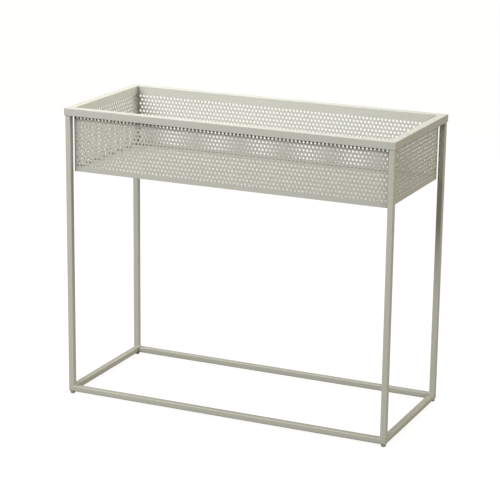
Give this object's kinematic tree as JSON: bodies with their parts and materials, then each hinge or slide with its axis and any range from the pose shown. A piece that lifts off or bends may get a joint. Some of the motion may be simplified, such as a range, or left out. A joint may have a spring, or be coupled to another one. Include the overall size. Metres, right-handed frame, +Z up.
{
  "type": "raised planter on legs",
  "caption": "Long planter box of perforated sheet steel with a folded rim, raised on a slender stand of square steel tube with small screw-in feet.",
  "frame": {"origin": "the middle of the footprint, on the floor that the four feet stand on", "axes": "+Z up, the long side along X with +X to the right seen from the front, +Y from front to back"},
  "size_m": [0.7, 0.3, 0.6],
  "materials": {
    "coated_sheet": "matt powder coat, sage grey, fine texture",
    "coated_tube": "matt powder coat, sage grey, fine texture",
    "zinc_plated_steel": "zinc plated, satin",
    "foot_nylon": "moulded nylon, satin"
  },
  "bodies": {
    "planter": {"front_wall": "coated_sheet", "back_wall": "coated_sheet", "left_wall": "coated_sheet", "right_wall": "coated_sheet", "planter_floor": "coated_sheet", "rim_plate_front_left": "coated_sheet", "rim_plate_front_right": "coated_sheet", "rim_plate_back_left": "coated_sheet", "rim_plate_back_right": "coated_sheet", "leg_front_left": "coated_tube", "leg_front_right": "coated_tube", "leg_back_left": "coated_tube", "leg_back_right": "coated_tube", "leg_plate_front_left": "coated_tube", "leg_plate_front_right": "coated_tube", "leg_plate_back_left": "coated_tube", "leg_plate_back_right": "coated_tube", "front_rail": "coated_tube", "back_rail": "coated_tube", "left_rail": "coated_tube", "right_rail": "coated_tube", "bush_front_left": "zinc_plated_steel", "bush_front_right": "zinc_plated_steel", "bush_back_left": "zinc_plated_steel", "bush_back_right": "zinc_plated_steel", "fixing_screws": "zinc_plated_steel"},
    "foot_a": {"foot_front_left": "foot_nylon", "stem_front_left": "zinc_plated_steel"},
    "foot_b": {"foot_front_right": "foot_nylon", "stem_front_right": "zinc_plated_steel"},
    "foot_c": {"foot_back_left": "foot_nylon", "stem_back_left": "zinc_plated_steel"},
    "foot_d": {"foot_back_right": "foot_nylon", "stem_back_right": "zinc_plated_steel"}
  },
  "joints": [
    {"name": "foot_front_left_screw", "type": "slide", "parent": "planter", "child": "foot_a", "axis": [0, 0, -1], "range_m": [0, 0.005]},
    {"name": "foot_front_right_screw", "type": "slide", "parent": "planter", "child": "foot_b", "axis": [0, 0, -1], "range_m": [0, 0.005]},
    {"name": "foot_back_left_screw", "type": "slide", "parent": "planter", "child": "foot_c", "axis": [0, 0, -1], "range_m": [0, 0.005]},
    {"name": "foot_back_right_screw", "type": "slide", "parent": "planter", "child": "foot_d", "axis": [0, 0, -1], "range_m": [0, 0.005]}
  ]
}
